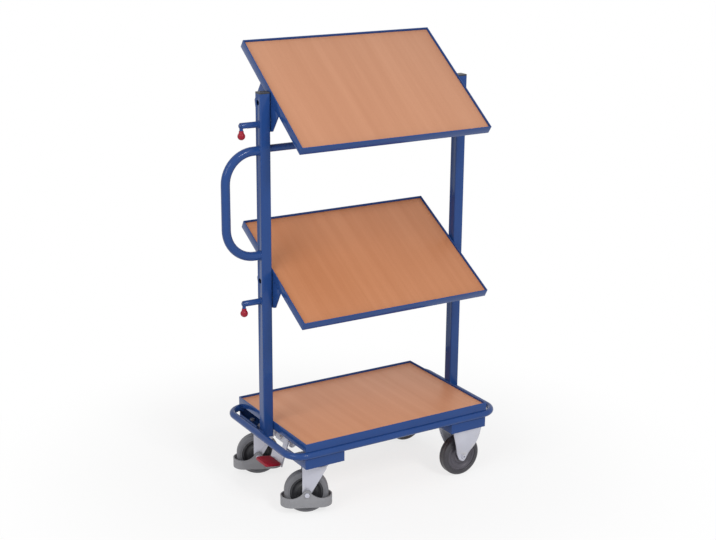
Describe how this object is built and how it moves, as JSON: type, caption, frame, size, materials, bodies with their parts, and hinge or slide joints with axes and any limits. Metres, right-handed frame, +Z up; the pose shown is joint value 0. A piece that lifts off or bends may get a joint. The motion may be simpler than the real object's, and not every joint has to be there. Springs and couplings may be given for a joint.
{
  "type": "shelf trolley",
  "caption": "Tubular shelf trolley with a fixed deck, tilting upper shelves held by spring latches, a side push handle and a central foot brake on its swivel casters",
  "frame": {"origin": "on the floor under the middle of the trolley's overall length and depth", "axes": "+X along the trolley from the push handle to the far end, -Y the low front edge of the shelves, +Z up"},
  "size_m": [0.798, 0.4241, 1.2912],
  "materials": {
    "blue_paint": "smooth blue powder coat",
    "board": "lacquered beech board",
    "zinc": "zinc plated",
    "red_plastic": "red plastic",
    "black_plastic": "black plastic",
    "grey_plastic": "grey plastic",
    "tyre": "grey rubber"
  },
  "bodies": {
    "frame": {"bumper_tube": "blue_paint", "caster_bolts": "zinc", "caster_nuts": "zinc", "cross_tube": "blue_paint", "deck_board": "board", "deck_rim": "blue_paint", "fixed_axles": "zinc", "fixed_bushes": "zinc", "fixed_fork_front": "zinc", "fixed_fork_rear": "zinc", "latch_sleeves": "blue_paint", "latch_spring_mid": "zinc", "latch_spring_top": "zinc", "pivot_bolts": "zinc", "pivot_nuts": "zinc", "pivot_washers": "zinc", "pocket_front_left": "blue_paint", "pocket_front_right": "blue_paint", "pocket_rear_left": "blue_paint", "pocket_rear_right": "blue_paint", "push_handle": "blue_paint", "shaft_bearings": "zinc", "swivel_plate_front": "zinc", "swivel_plate_rear": "zinc", "upright_caps": "black_plastic", "upright_left": "blue_paint", "upright_right": "blue_paint"},
    "top_shelf": {"top_rim": "blue_paint", "top_board": "board", "top_brackets": "blue_paint"},
    "mid_shelf": {"mid_rim": "blue_paint", "mid_board": "board", "mid_brackets": "blue_paint"},
    "latch_top": {"latch_bolt_top": "blue_paint", "latch_knob_top": "red_plastic"},
    "latch_mid": {"latch_bolt_mid": "blue_paint", "latch_knob_mid": "red_plastic"},
    "brake_pedal": {"brake_shaft": "zinc", "brake_cams": "zinc", "pedal_arm": "zinc", "pedal_pad": "red_plastic"},
    "swivel_front": {"swivel_fork_front": "zinc", "foot_guard_front": "grey_plastic", "swivel_axle_front": "zinc", "swivel_bush_front": "zinc"},
    "swivel_wheel_front": {"swivel_core_front": "black_plastic", "swivel_tyre_front": "tyre"},
    "fixed_wheel_front": {"fixed_core_front": "black_plastic", "fixed_tyre_front": "tyre"},
    "brake_plunger_front": {"brake_plunger_front": "zinc"},
    "swivel_rear": {"swivel_fork_rear": "zinc", "foot_guard_rear": "grey_plastic", "swivel_axle_rear": "zinc", "swivel_bush_rear": "zinc"},
    "swivel_wheel_rear": {"swivel_core_rear": "black_plastic", "swivel_tyre_rear": "tyre"},
    "fixed_wheel_rear": {"fixed_core_rear": "black_plastic", "fixed_tyre_rear": "tyre"},
    "brake_plunger_rear": {"brake_plunger_rear": "zinc"}
  },
  "joints": [
    {"name": "top_shelf_tilt", "type": "hinge", "parent": "frame", "child": "top_shelf", "pos_m": [0.04575, 0, 1.145], "axis": [1, 0, 0], "range_deg": [-72, 0]},
    {"name": "mid_shelf_tilt", "type": "hinge", "parent": "frame", "child": "mid_shelf", "pos_m": [0.04575, 0, 0.652], "axis": [1, 0, 0], "range_deg": [-60, 0]},
    {"name": "latch_top_slide", "type": "slide", "parent": "frame", "child": "latch_top", "axis": [1, 0, 0], "range_m": [0, 0.012]},
    {"name": "latch_mid_slide", "type": "slide", "parent": "frame", "child": "latch_mid", "axis": [1, 0, 0], "range_m": [0, 0.012]},
    {"name": "brake_pedal_lift", "type": "hinge", "parent": "frame", "child": "brake_pedal", "pos_m": [-0.19005, 0, 0.1778], "axis": [0, 1, 0], "range_deg": [0, 28]},
    {"name": "swivel_front_turn", "type": "hinge", "parent": "frame", "child": "swivel_front", "pos_m": [-0.19005, -0.1477, 0.1445], "axis": [0, 0, 1], "continuous": true},
    {"name": "swivel_wheel_front_spin", "type": "hinge", "parent": "swivel_front", "child": "swivel_wheel_front", "pos_m": [-0.21905, -0.13418, 0.0625], "axis": [-0.4226, -0.9063, 0], "continuous": true},
    {"name": "fixed_wheel_front_spin", "type": "hinge", "parent": "frame", "child": "fixed_wheel_front", "pos_m": [0.29445, -0.1477, 0.0625], "axis": [0, 1, 0], "continuous": true},
    {"name": "brake_plunger_front_lift", "type": "slide", "parent": "swivel_front", "child": "brake_plunger_front", "axis": [0, 0, 1], "range_m": [0, 0.0037]},
    {"name": "swivel_rear_turn", "type": "hinge", "parent": "frame", "child": "swivel_rear", "pos_m": [-0.19005, 0.1477, 0.1445], "axis": [0, 0, 1], "continuous": true},
    {"name": "swivel_wheel_rear_spin", "type": "hinge", "parent": "swivel_rear", "child": "swivel_wheel_rear", "pos_m": [-0.21905, 0.16122, 0.0625], "axis": [-0.4226, -0.9063, 0], "continuous": true},
    {"name": "fixed_wheel_rear_spin", "type": "hinge", "parent": "frame", "child": "fixed_wheel_rear", "pos_m": [0.29445, 0.1477, 0.0625], "axis": [0, 1, 0], "continuous": true},
    {"name": "brake_plunger_rear_lift", "type": "slide", "parent": "swivel_rear", "child": "brake_plunger_rear", "axis": [0, 0, 1], "range_m": [0, 0.0037]}
  ],
  "couplings": [
    {"joint": "brake_plunger_front_lift", "follows": "brake_pedal_lift", "m_per_rad": 0.0075712},
    {"joint": "brake_plunger_rear_lift", "follows": "brake_pedal_lift", "m_per_rad": 0.0075712}
  ]
}
